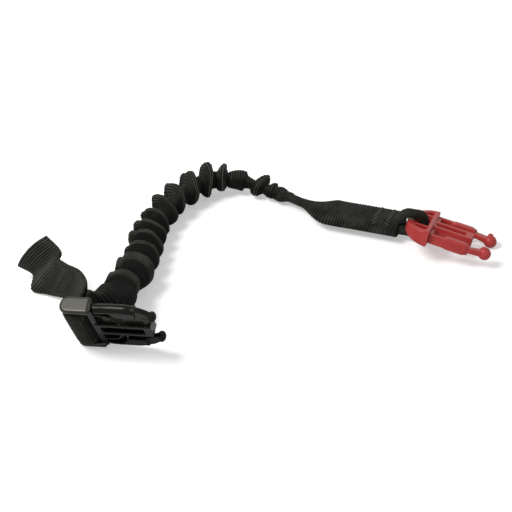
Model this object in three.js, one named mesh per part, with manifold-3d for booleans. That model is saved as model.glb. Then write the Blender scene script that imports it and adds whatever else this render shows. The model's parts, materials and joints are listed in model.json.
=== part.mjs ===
// Elastic safety tether: tubular webbing gathered over an elastic core. One end is looped
// through the strap frame of a black buckle plug; the other end is sewn round a cord loop
// that carries a red buckle plug. Millimetres, +Z up. The origin is on the surface that the
// tether lies on, under the middle of its box.
import * as THREE from 'three';
import { mergeVertices } from 'three/addons/utils/BufferGeometryUtils.js';
import Module from 'manifold-3d';

const wasm = await Module();
wasm.setup();

// Webbing
const webbingWidth = 25;
const webbingThickness = 2.2;
const strapClearance = 0.7;
const wrapClearance = 0.35;
const seamGap = 0.3;

// Elastic core and the sleeve gathered over it
const coreDiameter = 5.2;
const coreClearance = 0.45;
const sleeveWall = 0.9;
const sleeveSides = 12;
const boreRings = 24;
const gatherSlant = 1.1;
const legWidth = 15;
const legThickness = 8;
const twistShare = 0.65;

// Each gather from the buckle end to the neck: share of the sleeve's length at its crest, and
// how far the crest stands from the middle line
const gathers = [
  [0.055, 7.8], [0.150, 8.1], [0.235, 8.1], [0.310, 8.0], [0.385, 7.9], [0.460, 7.8], [0.535, 7.6],
  [0.605, 7.6], [0.680, 7.7], [0.750, 7.4], [0.815, 6.5], [0.880, 5.6], [0.938, 5.0], [0.980, 4.5],
];

// Sewn sleeve end
const sewnNeckWidth = 9;
const sewnNeckThickness = 4.2;
const sewnNeckLength = 17;
const sewnNeckTilt = -40;
const endWidth = 21.8;
const endThickness = 6.6;
const flatLength = 34;
const endRoundness = 2.3;

// Cord loop
const cordDiameter = 4.3;
const cordClearance = 0.3;
const cordSpacing = 9.0;
const cordOffset = -2.4;
const cordSewnLength = 22;

// Seams of heavy thread
const threadWidth = 0.8;
const threadHeight = 0.5;
const seamStitches = 12;
const seamWidth = 1.6;
const seamInset = 5;
const seamPitch = 6;
const coreSeamLength = 5;

// Prongs of both plugs
const plugThickness = 4.5;
const legDepth = 1.8;
const legLength = 6.2;
const webStart = 10.6;
const padEnd = 17.6;
const padSlant = 0.9;
const padRounding = 0.9;
const neckThickness = 2.4;
const neckReach = 3.0;
const prongGap = 0.3;
const edgeEase = 0.5;

// Black plug: half its width over the prongs, width of each web, pads and beads
const blackHalfWidth = 15.7;
const blackPlugLength = 26.9;
const blackWebWidth = 6.4;
const blackPadHeight = 5.0;
const blackBeadRadius = 2.4;
const blackBeadSpan = 8.6;

// Red plug
const redHalfWidth = 13.2;
const redPlugLength = 28.6;
const redWebWidth = 3.7;
const redPadHeight = 5.5;
const redBeadRadius = 3.0;
const redBeadSpan = 8.7;

// Guide tongue between the prongs
const guideHalfWidth = 4.0;
const guideThickness = 6.0;
const guideRail = 1.8;
const guideTip = 3.4;
const blackGuideLength = 23.0;
const redGuideLength = 18.2;

// Curved ribs that tie the guide to the shoulder
const ribOffset = 10.2;
const ribWall = 1.0;
const ribFoot = 9.2;

// Strap frame of the black buckle
const railWidth = 2.6;
const railHeight = 8.4;
const railLength = 13.6;
const railSetback = 0.9;
const railNose = 3.6;
const railHeel = 1.0;
const shoulderDepth = 2.8;
const barWidth = 4.4;
const barHeight = 3.6;

// Loop end of the red buckle
const ringHalfWidth = 15.3;
const ringHeight = 7.8;
const ringTipHeight = 5.0;
const ringDepth = 12.2;
const ringWall = 3.2;
const ringSideWall = 2.8;
const ringBar = 2.3;
const dividerNear = -5.2;
const dividerFar = 8.2;
const dividerWall = 1.3;
const dividerHeight = 5.6;
const pocketFloor = 1.4;

// Where each buckle lies: its origin, the heading and rise of its prongs, its lean from flat
const blackPlace = { at: [-64.7, -73.5, 17.0], heading: -14.0, rise: 6.5, lean: 116.6 };
const redPlace = { at: [79.8, 6.7, 9.9], heading: -17.9, rise: -10.3, lean: -15.7 };

// Middle line of the gathers on the table, from the black buckle to the neck
const sleeveRoute = [
  [-57.8, -49.0, 14.5], [-54.0, -34.2, 11.2], [-51.0, -18.6, 9.2], [-48.6, -4.6, 8.5],
  [-43.0, 18.2, 8.5], [-34.0, 36.0, 8.5], [-22.4, 49.0, 8.4], [-7.5, 51.5, 7.0],
  [1.4, 48.2, 5.6], [10.7, 43.7, 4.8],
];
const neckMiddle = [21.4, 37.0, 4.3];
const sleeveEnd = [64.6, 18.9, 4.6];
const sleeveEndHeading = -18.3;
const sleeveEndTilt = -7;

// Free end of the strap: middle line, and where its upper edge lies from it
const tailRoute = [
  { at: [-74.8, -53.0, 16.4], edge: [-1.8, -5.0, 11.3] },
  { at: [-80.0, -42.0, 14.2], edge: [1.0, -5.0, 11.4] },
  { at: [-87.2, -34.8, 12.4], edge: [3.4, -4.2, 11.3] },
  { at: [-92.4, -30.3, 12.2], edge: [5.4, -2.7, 11.0] },
  { at: [-91.6, -26.3, 14.6], edge: [5.7, -4.7, 10.1] },
  { at: [-98.9, -20.6, 18.6], edge: [6.3, -3.1, 10.4] },
];

// Cord over the bar of the ring, through its hole and back under, from the ring's own origin
const cordRoute = [
  [-16.2, 8.4, -4.4], [-15.3, 3.0, -0.7], [-14.6, -1.8, 2.8], [-12.5, -3.9, 5.1], [-9.8, -3.0, 5.3],
  [-7.4, -0.4, 4.8], [-5.7, 2.4, 2.8], [-5.2, 4.0, 0.0], [-5.7, 4.6, -2.9], [-8.4, 4.1, -5.7],
  [-11.8, 3.6, -6.0],
];

const black = { color: 0x1b1b1a, roughness: 0.38, metalness: 0 };
const red = { color: 0xb03a38, roughness: 0.42, metalness: 0 };
const cloth = { color: 0x2b2b28, roughness: 0.92, metalness: 0 };
const cordCloth = { color: 0x30312d, roughness: 0.95, metalness: 0 };
const rubber = { color: 0xcfc7b4, roughness: 0.8, metalness: 0 };
const thread = { color: 0x1f1f1e, roughness: 0.9, metalness: 0 };

// Derived sizes
const slotHalfWidth = webbingWidth / 2 + strapClearance;
const frameHalfWidth = slotHalfWidth + railWidth;
const frameEnd = -railSetback - railLength;
const barEnd = frameEnd + webbingThickness + 2 * wrapClearance + 0.2;
const barMiddle = barEnd + barWidth / 2;
const slotMiddle = (barEnd + barWidth - shoulderDepth) / 2;
const wrapOffset = wrapClearance + webbingThickness / 2;
const boreRadius = coreDiameter / 2 + coreClearance;
const valleyRadius = boreRadius + sleeveWall;
const up = new THREE.Vector3(0, 0, 1);
const vec = (p) => new THREE.Vector3(...p);

// Solids
function solidOf(geometry) {
  geometry.deleteAttribute('normal');
  geometry.deleteAttribute('uv');
  const merged = mergeVertices(geometry, 1e-4);
  return new wasm.Manifold(new wasm.Mesh({
    numProp: 3,
    vertProperties: new Float32Array(merged.attributes.position.array),
    triVerts: new Uint32Array(merged.index.array),
  }));
}

function geometryOf(solid) {
  const mesh = solid.getMesh();
  const geometry = new THREE.BufferGeometry();
  const points = new Float32Array(mesh.vertProperties);
  geometry.setAttribute('position', new THREE.BufferAttribute(points, 3));
  geometry.setIndex(new THREE.BufferAttribute(new Uint32Array(mesh.triVerts), 1));
  return geometry;
}

function joined(solids) {
  return solids.reduce((sum, solid) => sum.add(solid));
}

function piece(name, geometry, look) {
  const mesh = new THREE.Mesh(geometry, new THREE.MeshStandardMaterial(look));
  mesh.name = name;
  return mesh;
}

// An outline with eased edges, lying in the plane of the prongs
function slab(shape, thickness, ease = edgeEase) {
  const geometry = new THREE.ExtrudeGeometry(shape, {
    depth: thickness - 2 * ease,
    bevelEnabled: ease > 0,
    bevelThickness: ease,
    bevelSize: ease,
    bevelOffset: -ease,
    bevelSegments: 1,
    curveSegments: 6,
  });
  geometry.translate(0, 0, ease - thickness / 2);
  return geometry;
}

// The same outline stood up, in the plane of length and height
function upright(shape, width, middle, ease = edgeEase) {
  const geometry = slab(shape, width, ease);
  geometry.rotateX(Math.PI / 2);
  geometry.translate(0, middle, 0);
  return geometry;
}

function roundedRect(x0, y0, x1, y1, radius, far = radius) {
  const shape = new THREE.Shape();
  shape.moveTo(x0 + radius, y0);
  shape.lineTo(x1 - far, y0);
  shape.absarc(x1 - far, y0 + far, far, -Math.PI / 2, 0);
  shape.lineTo(x1, y1 - far);
  shape.absarc(x1 - far, y1 - far, far, 0, Math.PI / 2);
  shape.lineTo(x0 + radius, y1);
  shape.absarc(x0 + radius, y1 - radius, radius, Math.PI / 2, Math.PI);
  shape.lineTo(x0, y0 + radius);
  shape.absarc(x0 + radius, y0 + radius, radius, Math.PI, 1.5 * Math.PI);
  return shape;
}

// A line of even thickness along a route in the plane, closed into an outline
function ribbonOutline(route, thickness) {
  const left = [];
  const right = [];
  route.forEach((point, i) => {
    const before = route[Math.max(i - 1, 0)];
    const after = route[Math.min(i + 1, route.length - 1)];
    const along = after.clone().sub(before).normalize();
    const side = new THREE.Vector2(-along.y, along.x).multiplyScalar(thickness / 2);
    left.push(point.clone().add(side));
    right.unshift(point.clone().sub(side));
  });
  return new THREE.Shape([...left, ...right]);
}

// A closed body through rings of points, each with as many points as the next
function loft(rings, bore = []) {
  const sides = rings[0].length;
  const all = [...rings, ...bore.slice().reverse()];
  const faces = [];
  const links = bore.length > 0 ? all.length : all.length - 1;
  for (let r = 0; r < links; r += 1) {
    for (let s = 0; s < sides; s += 1) {
      const a = r * sides + s;
      const b = r * sides + (s + 1) % sides;
      const c = ((r + 1) % all.length) * sides + s;
      const d = ((r + 1) % all.length) * sides + (s + 1) % sides;
      faces.push(a, b, c, b, d, c);
    }
  }
  const last = (rings.length - 1) * sides;
  for (let s = 1; s < sides - 1 && bore.length === 0; s += 1) {
    faces.push(0, s + 1, s);
    faces.push(last, last + s, last + s + 1);
  }
  const geometry = new THREE.BufferGeometry();
  const points = all.flat().flatMap((p) => p.toArray());
  geometry.setAttribute('position', new THREE.Float32BufferAttribute(points, 3));
  geometry.setIndex(faces);
  return geometry;
}

// A ring round a middle point: half sizes along two directions, squarer as power grows
function ring(middle, across, over, halfWidth, halfHeight, sides, power = 2) {
  return Array.from({ length: sides }, (_, s) => {
    const turn = (2 * Math.PI * s) / sides;
    const [c, d] = [Math.cos(turn), Math.sin(turn)];
    const x = Math.sign(c) * Math.abs(c) ** (2 / power) * halfWidth;
    const y = Math.sign(d) * Math.abs(d) ** (2 / power) * halfHeight;
    return middle.clone().addScaledVector(across, x).addScaledVector(over, y);
  });
}

function frameAt(curve, t) {
  const middle = curve.getPointAt(t);
  const along = curve.getTangentAt(t);
  const across = new THREE.Vector3().crossVectors(up, along).normalize();
  const over = new THREE.Vector3().crossVectors(along, across);
  return { middle, along, across, over };
}

// Frames of the two buckles: x along the prongs, y across them, z out of the flat face
function placeOf(place) {
  const group = new THREE.Group();
  group.position.set(...place.at);
  const [lean, rise, heading] = [place.lean, -place.rise, place.heading].map(THREE.MathUtils.degToRad);
  group.rotation.set(lean, rise, heading, 'ZYX');
  group.updateMatrixWorld(true);
  return group;
}

const blackEnd = placeOf(blackPlace);
const redEnd = placeOf(redPlace);
const fromBlack = (x, y, z) => new THREE.Vector3(x, y, z).applyMatrix4(blackEnd.matrixWorld);
const turnBlack = (x, y, z) => new THREE.Vector3(x, y, z).transformDirection(blackEnd.matrixWorld);

// One prong, on side 1 or -1: spring leg, web and thumb pad, then a thin neck and its bead
function prong(side, { halfWidth, webWidth, padHeight, beadRadius, beadSpan, length }) {
  const beadMiddle = length - beadRadius;
  const inner = halfWidth - webWidth;
  const leg = new THREE.Shape();
  leg.moveTo(prongGap, halfWidth - legDepth);
  leg.lineTo(legLength, halfWidth - legDepth);
  leg.quadraticCurveTo(webStart - 1.5, inner + 0.6, webStart, inner);
  leg.lineTo(padEnd, inner);
  leg.lineTo(padEnd + padSlant, halfWidth - padRounding);
  leg.quadraticCurveTo(padEnd - 1, halfWidth, padEnd - 5, halfWidth);
  leg.lineTo(prongGap, halfWidth);
  leg.closePath();
  const neck = new THREE.Shape();
  neck.moveTo(webStart, inner + 0.6);
  neck.lineTo(padEnd, inner + 0.2);
  neck.lineTo(beadMiddle, beadSpan - beadRadius + 0.5);
  neck.lineTo(beadMiddle, beadSpan + beadRadius - 0.5);
  neck.quadraticCurveTo(padEnd + neckReach, halfWidth - padRounding, padEnd, halfWidth - padRounding);
  neck.lineTo(webStart, halfWidth - padRounding);
  neck.closePath();
  const padShape = roundedRect(legLength + 0.6, -padHeight / 2, padEnd, padHeight / 2, 1.6);
  const pad = upright(padShape, 2 * legDepth, halfWidth - legDepth - 0.2, 0.7);
  const bead = new THREE.SphereGeometry(beadRadius, 12, 8);
  bead.translate(beadMiddle, beadSpan, 0);
  const whole = joined([solidOf(slab(leg, plugThickness, 0.45)),
    solidOf(slab(neck, neckThickness, 0.3)), solidOf(pad), solidOf(bead)]);
  return geometryOf(side > 0 ? whole : whole.mirror([0, 1, 0]));
}

// Tongue between the prongs with its long slot
function guide(length) {
  const outline = roundedRect(-shoulderDepth / 2, -guideHalfWidth, length, guideHalfWidth, 0.8);
  const inner = guideHalfWidth - guideRail;
  outline.holes.push(roundedRect(0.9, -inner, length - guideTip, inner, 0.6));
  return solidOf(slab(outline, guideThickness, 0.25));
}

// Thin rib that leaves the shoulder square and bends in to the guide
function rib(side) {
  const curve = new THREE.CubicBezierCurve(
    new THREE.Vector2(-0.6, ribOffset),
    new THREE.Vector2(ribFoot * 0.95, ribOffset + 0.2),
    new THREE.Vector2(ribFoot * 0.5, ribOffset * 0.9),
    new THREE.Vector2(ribFoot + 0.8, guideHalfWidth - 0.5),
  );
  const solid = solidOf(slab(ribbonOutline(curve.getPoints(10), ribWall), plugThickness - 0.6, 0));
  return side > 0 ? solid : solid.mirror([0, 1, 0]);
}

function blackFrame() {
  const railShape = roundedRect(frameEnd, -railHeight / 2, -railSetback, railHeight / 2, railNose, railHeel);
  const railMiddle = frameHalfWidth - railWidth / 2;
  const rails = [1, -1].map((side) => solidOf(upright(railShape, railWidth, side * railMiddle, 0.7)));
  const shoulderShape = roundedRect(-shoulderDepth, -blackHalfWidth, 0, blackHalfWidth, 0.5);
  const barShape = roundedRect(barEnd, -barHeight / 2, barEnd + barWidth, barHeight / 2, 1.5);
  const bar = solidOf(upright(barShape, 2 * slotHalfWidth + railWidth, 0, 0));
  return joined([...rails, solidOf(slab(shoulderShape, plugThickness, 0.3)), bar,
    guide(blackGuideLength), rib(1), rib(-1)]);
}

// D-shaped ring: straight bar under the prongs, curved bar for the cord, and a blind pocket
// behind a divider on either side of the hole
function ringArc(shape, depth, halfWidth) {
  shape.absellipse(-ringBar, 0, depth - ringBar, halfWidth, Math.PI / 2, 1.5 * Math.PI);
}

function redFrame() {
  const outline = new THREE.Shape();
  outline.moveTo(0, -ringHalfWidth);
  outline.lineTo(0, ringHalfWidth);
  outline.lineTo(-ringBar, ringHalfWidth);
  ringArc(outline, ringDepth, ringHalfWidth);
  const hole = new THREE.Path();
  ringArc(hole, ringDepth - ringWall, ringHalfWidth - ringSideWall);
  hole.closePath();
  outline.holes.push(hole);
  const past = ringDepth + 1;
  const side = new THREE.Shape([
    new THREE.Vector2(0, ringHeight / 2), new THREE.Vector2(-past, ringTipHeight / 2),
    new THREE.Vector2(-past, -ringTipHeight / 2), new THREE.Vector2(0, -ringHeight / 2),
  ]);
  const taper = solidOf(upright(side, 2 * ringHalfWidth + 2, 0, 0));
  const rim = solidOf(slab(outline, ringHeight, 0.8)).intersect(taper);
  const cover = new THREE.Shape();
  ringArc(cover, ringDepth - 1, ringHalfWidth - 1);
  cover.closePath();
  const covered = (height, from, to) => solidOf(slab(cover, height, 0))
    .intersect(wasm.Manifold.cube([ringDepth, to - from, height]).translate([-ringDepth, from, -height / 2]));
  const base = roundedRect(-ringBar / 2, -redHalfWidth + 2.2, 1.6, redHalfWidth - 2.2, 0.4);
  return joined([rim, covered(pocketFloor, -ringHalfWidth, dividerNear),
    covered(pocketFloor, dividerFar, ringHalfWidth),
    covered(dividerHeight, dividerNear - dividerWall, dividerNear),
    covered(dividerHeight, dividerFar, dividerFar + dividerWall),
    solidOf(slab(base, plugThickness - 0.4, 0.2)), guide(redGuideLength)]);
}

// Webbing folded round the end bar: up through the slot, over the bar, round it and back
const foldOver = barHeight / 2 + wrapOffset;
const foldRound = barWidth / 2 + wrapOffset;
const legBack = -railHeight / 2 - 2.8;
const coreSide = slotMiddle + 1.3;
const tailSide = coreSide - webbingThickness - 0.9;

function strapLoop() {
  const curve = new THREE.CatmullRomCurve3([
    [coreSide, legBack], [slotMiddle + 0.1, -2.6], [slotMiddle, 0.6],
    [slotMiddle - 1.1, foldOver - 0.5], [barMiddle, foldOver],
    [barMiddle - foldRound + 0.9, foldOver - 0.9], [barMiddle - foldRound, 0],
    [barMiddle - foldRound + 0.9, -foldOver + 0.9], [barMiddle, -foldOver - 0.2],
    [tailSide - 0.1, legBack + 1.6], [tailSide, legBack],
  ].map(([x, z]) => new THREE.Vector3(x, z, 0)), false, 'catmullrom', 0.5);
  const route = curve.getSpacedPoints(34).map((p) => new THREE.Vector2(p.x, p.y));
  return upright(ribbonOutline(route, webbingThickness), webbingWidth, 0, 0);
}

// Free end of the strap, standing on its edge and twisting as it goes
function strapTail() {
  const start = fromBlack(tailSide, 0, legBack - seamGap);
  const startEdge = turnBlack(0, 1, 0).multiplyScalar(webbingWidth / 2);
  const leave = start.clone().add(turnBlack(0.05, 0, -1).multiplyScalar(2.5));
  const middles = [start, leave, ...tailRoute.map((stop) => vec(stop.at))];
  const edges = [startEdge, startEdge, ...tailRoute.map((stop) => vec(stop.edge))];
  const line = new THREE.CatmullRomCurve3(middles, false, 'centripetal');
  const edgeLine = new THREE.CatmullRomCurve3(edges, false, 'centripetal');
  const steps = 30;
  const rings = Array.from({ length: steps + 1 }, (_, i) => {
    const t = i / steps;
    const across = edgeLine.getPoint(t).normalize();
    const over = new THREE.Vector3().crossVectors(line.getTangent(t), across).normalize();
    return ring(line.getPoint(t), across, over, webbingWidth / 2, webbingThickness / 2, 12, 5);
  });
  return loft(rings);
}

// Strap from the fold to the gathers, opening from flat to full
function strapLeg(line) {
  const startEdge = turnBlack(0, 1, 0);
  const steps = 14;
  const rings = Array.from({ length: steps + 1 }, (_, i) => {
    const t = i / steps;
    const swell = THREE.MathUtils.smoothstep(t, 0, 0.35);
    const { middle, along, across } = frameAt(line, t);
    const turned = THREE.MathUtils.smoothstep(t, 0.06, twistShare);
    const edge = startEdge.clone().lerp(across.addScaledVector(up, 0.2), turned).normalize();
    const over = new THREE.Vector3().crossVectors(along, edge).normalize();
    const halfWidth = THREE.MathUtils.lerp(webbingWidth, legWidth, swell) / 2;
    const halfHeight = THREE.MathUtils.lerp(webbingThickness, legThickness, swell) / 2;
    return ring(middle, edge, over, halfWidth, halfHeight, 12, THREE.MathUtils.lerp(5, 2.2, t));
  });
  return loft(rings);
}

// Gathers: a ring at each valley, at each crest and halfway between
function gatheredSleeve(line) {
  const shares = gathers.map(([share]) => share);
  const valleys = [0, ...shares.slice(1).map((share, k) => (share + shares[k]) / 2), 1];
  const halfway = (a, b) => (a + b) / 2;
  const stops = gathers.flatMap(([share, radius], k) => [
    [valleys[k], 0, radius], [halfway(valleys[k], share), 0.75, radius], [share, 1, radius],
    [halfway(share, valleys[k + 1]), 0.75, radius],
  ]);
  const outer = [...stops, [1, 0, valleyRadius]].map(([t, lift, crest]) => {
    const { middle, along, across, over } = frameAt(line, t);
    const radius = THREE.MathUtils.lerp(valleyRadius, crest, lift);
    return ring(middle, across, over, radius, radius, sleeveSides).map((p, s) => (
      p.addScaledVector(along, gatherSlant * lift * Math.cos((2 * Math.PI * s) / sleeveSides))));
  });
  return loft(outer, tubeRings(line, boreRadius, boreRings, sleeveSides));
}

// Round rings evenly along a line
function tubeRings(line, radius, steps, sides) {
  return Array.from({ length: steps + 1 }, (_, i) => {
    const { middle, across, over } = frameAt(line, i / steps);
    return ring(middle, across, over, radius, radius, sides);
  });
}

// Sewn end of the sleeve: where it ends, which way it lies and where the cord runs in it
const heading = THREE.MathUtils.degToRad(sleeveEndHeading);
const sleeveWay = new THREE.Vector3(Math.cos(heading), Math.sin(heading), 0);
const sewnAt = (side, depth) => {
  const tilt = THREE.MathUtils.degToRad(sleeveEndTilt);
  const farSide = new THREE.Vector3().crossVectors(up, sleeveWay).multiplyScalar(Math.cos(tilt));
  farSide.addScaledVector(up, Math.sin(tilt));
  return vec(sleeveEnd).addScaledVector(farSide, cordOffset + (side * cordSpacing) / 2)
    .addScaledVector(sleeveWay, -depth);
};

function cordCurve() {
  const points = [sewnAt(1, cordSewnLength), sewnAt(1, cordSewnLength / 2), sewnAt(1, 0),
    ...cordRoute.map((p) => vec(p).applyMatrix4(redEnd.matrixWorld)),
    sewnAt(-1, 0), sewnAt(-1, cordSewnLength / 2), sewnAt(-1, cordSewnLength)];
  return new THREE.CatmullRomCurve3(points, false, 'centripetal');
}

function cordGeometry(curve, radius, steps) {
  const circle = new THREE.Shape().absarc(0, 0, radius, 0, 2 * Math.PI);
  return new THREE.ExtrudeGeometry(circle, { steps, extrudePath: curve, curveSegments: 5 });
}

// Section of the sewn end a share of the way along: twisted and narrow at the neck, then flat
function endSection(line, t) {
  const along = line.getTangentAt(t);
  const far = new THREE.Vector3().crossVectors(up, along).normalize();
  const neckShare = sewnNeckLength / line.getLength();
  const open = THREE.MathUtils.smoothstep(t, neckShare * 0.6, neckShare * 1.7);
  const tilt = THREE.MathUtils.degToRad(THREE.MathUtils.lerp(sewnNeckTilt, sleeveEndTilt, open));
  const over = new THREE.Vector3().crossVectors(along, far);
  return {
    middle: line.getPointAt(t),
    along,
    edge: far.clone().multiplyScalar(Math.cos(tilt)).addScaledVector(over, Math.sin(tilt)),
    over: over.multiplyScalar(Math.cos(tilt)).addScaledVector(far, -Math.sin(tilt)),
    width: THREE.MathUtils.lerp(sewnNeckWidth, endWidth, open),
    thickness: THREE.MathUtils.lerp(sewnNeckThickness, endThickness, open),
  };
}

function endSleeve(line, curve) {
  const steps = 20;
  const rings = Array.from({ length: steps + 1 }, (_, i) => {
    const { middle, edge, over, width, thickness } = endSection(line, i / steps);
    return ring(middle, edge, over, width / 2, thickness / 2, 16, endRoundness);
  });
  const channels = solidOf(cordGeometry(curve, cordDiameter / 2 + cordClearance, 60));
  return geometryOf(solidOf(loft(rings)).subtract(channels));
}

// Zigzag row of heavy thread across the sewn end, lying on its upper face
function seam(line, t, share) {
  const { middle, along, edge, over, width, thickness } = endSection(line, t);
  const rings = Array.from({ length: seamStitches + 1 }, (_, i) => {
    const side = (i / seamStitches - 0.5) * share;
    const height = (thickness / 2) * (1 - Math.abs(2 * side) ** endRoundness) ** (1 / endRoundness);
    const point = middle.clone().addScaledVector(edge, side * width)
      .addScaledVector(over, height + seamGap + threadHeight / 2)
      .addScaledVector(along, (i % 2 - 0.5) * seamWidth);
    return ring(point, over, along, threadHeight / 2, threadWidth / 2, 6);
  });
  return loft(rings);
}

const blackPlug = {
  halfWidth: blackHalfWidth,
  webWidth: blackWebWidth,
  padHeight: blackPadHeight,
  beadRadius: blackBeadRadius,
  beadSpan: blackBeadSpan,
  length: blackPlugLength,
};
const redPlug = {
  halfWidth: redHalfWidth,
  webWidth: redWebWidth,
  padHeight: redPadHeight,
  beadRadius: redBeadRadius,
  beadSpan: redBeadSpan,
  length: redPlugLength,
};

blackEnd.add(piece('black_buckle_frame', geometryOf(blackFrame()), black));
blackEnd.add(piece('black_upper_prong', prong(1, blackPlug), black));
blackEnd.add(piece('black_lower_prong', prong(-1, blackPlug), black));
blackEnd.add(piece('strap_loop', strapLoop(), cloth));

redEnd.add(piece('red_buckle_frame', geometryOf(redFrame()), red));
redEnd.add(piece('red_far_prong', prong(1, redPlug), red));
redEnd.add(piece('red_near_prong', prong(-1, redPlug), red));

const tether = new THREE.Group();
tether.add(blackEnd, redEnd);
tether.add(piece('strap_tail', strapTail(), cloth));

const sleeveLine = new THREE.CatmullRomCurve3(sleeveRoute.map(vec), false, 'centripetal');
sleeveLine.arcLengthDivisions = 400;
const sleeveStartWay = sleeveLine.getTangentAt(0);
const legStart = fromBlack(coreSide, 0, legBack - seamGap);
const legLine = new THREE.CatmullRomCurve3([
  legStart, legStart.clone().add(turnBlack(0.3, 0, -1).multiplyScalar(1.2)),
  vec(sleeveRoute[0]).addScaledVector(sleeveStartWay, -6),
  vec(sleeveRoute[0]).addScaledVector(sleeveStartWay, -seamGap)], false, 'centripetal');
tether.add(piece('strap_leg', strapLeg(legLine), cloth));
tether.add(piece('gathered_sleeve', gatheredSleeve(sleeveLine), cloth));
tether.add(piece('elastic_core', loft(tubeRings(sleeveLine, coreDiameter / 2, boreRings, 10)), rubber));

const cord = cordCurve();
const sleeveFinish = (past) => (
  sleeveLine.getPointAt(1).addScaledVector(sleeveLine.getTangentAt(1), past));
const endLine = new THREE.CatmullRomCurve3([
  sleeveFinish(seamGap), sleeveFinish(coreSeamLength), vec(neckMiddle),
  vec(sleeveEnd).addScaledVector(sleeveWay, -flatLength),
  vec(sleeveEnd).addScaledVector(sleeveWay, -flatLength / 2), vec(sleeveEnd),
], false, 'centripetal');
tether.add(piece('end_sleeve', endSleeve(endLine, cord), cloth));
tether.add(piece('cord_loop', cordGeometry(cord, cordDiameter / 2, 60), cordCloth));
[1, 2].forEach((row) => {
  const t = 1 - (seamInset + (row - 1) * seamPitch) / endLine.getLength();
  tether.add(piece(`cord_seam_${row}`, seam(endLine, t, 0.8), thread));
});
tether.add(piece('core_seam', seam(endLine, coreSeamLength / endLine.getLength(), 0.7), thread));

// The origin is under the middle of the whole tether
const box = new THREE.Box3().setFromObject(tether, true);
tether.position.set(-(box.min.x + box.max.x) / 2, -(box.min.y + box.max.y) / 2, -box.min.z);

export default tether;
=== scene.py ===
# Elastic safety tether: tubular webbing gathered over a rubber core. A black side-release plug
# with a strap frame is on one end, and a red plug with a ring hangs on a cord loop at the other.
# The sizes below are millimetres. Meshes are turned to metres in the frame as they are made.
import json
import math

import bmesh
import bpy
import numpy as np
from mathutils import Matrix, Vector


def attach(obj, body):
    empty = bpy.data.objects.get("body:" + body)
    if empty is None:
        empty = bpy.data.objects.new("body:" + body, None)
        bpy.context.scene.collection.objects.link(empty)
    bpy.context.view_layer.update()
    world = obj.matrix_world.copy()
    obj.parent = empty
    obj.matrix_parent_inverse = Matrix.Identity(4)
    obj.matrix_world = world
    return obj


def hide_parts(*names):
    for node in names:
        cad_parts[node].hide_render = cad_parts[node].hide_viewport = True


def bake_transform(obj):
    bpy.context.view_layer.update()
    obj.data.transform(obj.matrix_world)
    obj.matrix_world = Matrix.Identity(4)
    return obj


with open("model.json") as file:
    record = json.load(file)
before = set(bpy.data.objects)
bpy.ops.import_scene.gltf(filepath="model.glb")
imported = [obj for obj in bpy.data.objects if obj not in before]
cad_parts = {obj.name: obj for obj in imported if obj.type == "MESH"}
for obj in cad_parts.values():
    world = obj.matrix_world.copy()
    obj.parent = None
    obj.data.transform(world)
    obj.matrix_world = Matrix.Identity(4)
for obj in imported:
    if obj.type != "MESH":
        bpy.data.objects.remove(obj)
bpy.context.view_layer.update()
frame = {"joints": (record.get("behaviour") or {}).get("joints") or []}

MM = 0.001

# Webbing
webbing_width = 25.0
webbing_thickness = 2.2
strap_clearance = 0.7
wrap_clearance = 0.35
strap_squareness = 6.0
layer_gap = 0.9
rib_pitch = 1.2
rib_height = 0.26

# Elastic core and the gathers over it
core_diameter = 5.2
core_clearance = 0.45
sleeve_wall = 0.9
leg_width = 14.2
leg_thickness = 12.6
leg_squareness = 2.2
leg_lean = 0.3
leg_straight = 1.2
leg_run_in = 6.0
leg_edge_rise = 0.2
twist_share = 0.65

# Sewn sleeve end
sewn_neck_width = 9.0
sewn_neck_thickness = 4.2
sewn_neck_length = 17.0
sewn_neck_tilt = -40.0
end_width = 21.8
end_thickness = 6.6
end_squareness = 2.3
flat_length = 34.0
end_wall = 1.0
end_pocket = 24.0
# round where it is bound to the gathers, and of its own shape from binding_fade on
binding_width = 7.8
binding_thickness = 7.2
binding_length = 0.8
binding_fade = 5.5

# Cord loop
cord_diameter = 4.3
cord_spacing = 6.8
cord_offset = -1.7
cord_sewn_length = 22.0
braid_cells = 11
braid_step = 1.25
braid_height = 0.22
cord_step = 0.2

# Seams
thread_diameter = 0.55
stitch_count = 16
stitch_width = 1.6
stitch_rise = 0.1
seam_inset = 5.0
seam_pitch = 6.0
cord_seam_share = 0.8
core_seam_share = 0.7
core_seam_length = 5.0
seam_gap = 0.3

# Prongs of both plugs
plug_thickness = 4.5
leg_depth = 1.8
leg_length = 6.2
prong_ease = 0.35
web_start = 10.6
web_bend = 1.5
web_inset = 0.6
pad_start = 6.8
pad_end = 17.6
pad_slant = 0.9
pad_rounding = 0.9
pad_taper = 5.0
pad_corner = 1.6
pad_ease = 0.7
pad_inset = 0.2
prong_neck_thickness = 2.4
prong_neck_reach = 3.0
neck_inset = 0.2
bead_inset = 0.5
flex_inset = 0.3
root_gap = 0.06

# Each plug: half its width over the prongs, its length, the web's width, the pad's height, the
# bead's half sizes, its radius in outline and how far out its middle lies, and the depth to
# which the back of a prong is rounded
black_plug = {"half_width": 15.7, "length": 26.9, "web_width": 6.4, "pad_height": 0,
              "bead": (1.9, 2.2, 2.5), "bead_radius": 2.4, "bead_span": 8.6, "round_back": 2.0}
red_plug = {"half_width": 13.2, "length": 28.6, "web_width": 3.7, "pad_height": 5.5,
            "bead": (3.0, 2.9, 2.9), "bead_radius": 3.0, "bead_span": 8.7, "round_back": 0}

# Rounded back of a prong: how far it and the leg run into each other, how far it lies below its
# widest place at the root and at the nose, and where these dips end and start
back_overlap = 0.2
back_sunk = 0.6
root_dip = 0.5
root_dip_end = 8.0
nose_dip = 1.0
nose_dip_start = 13.5

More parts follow.
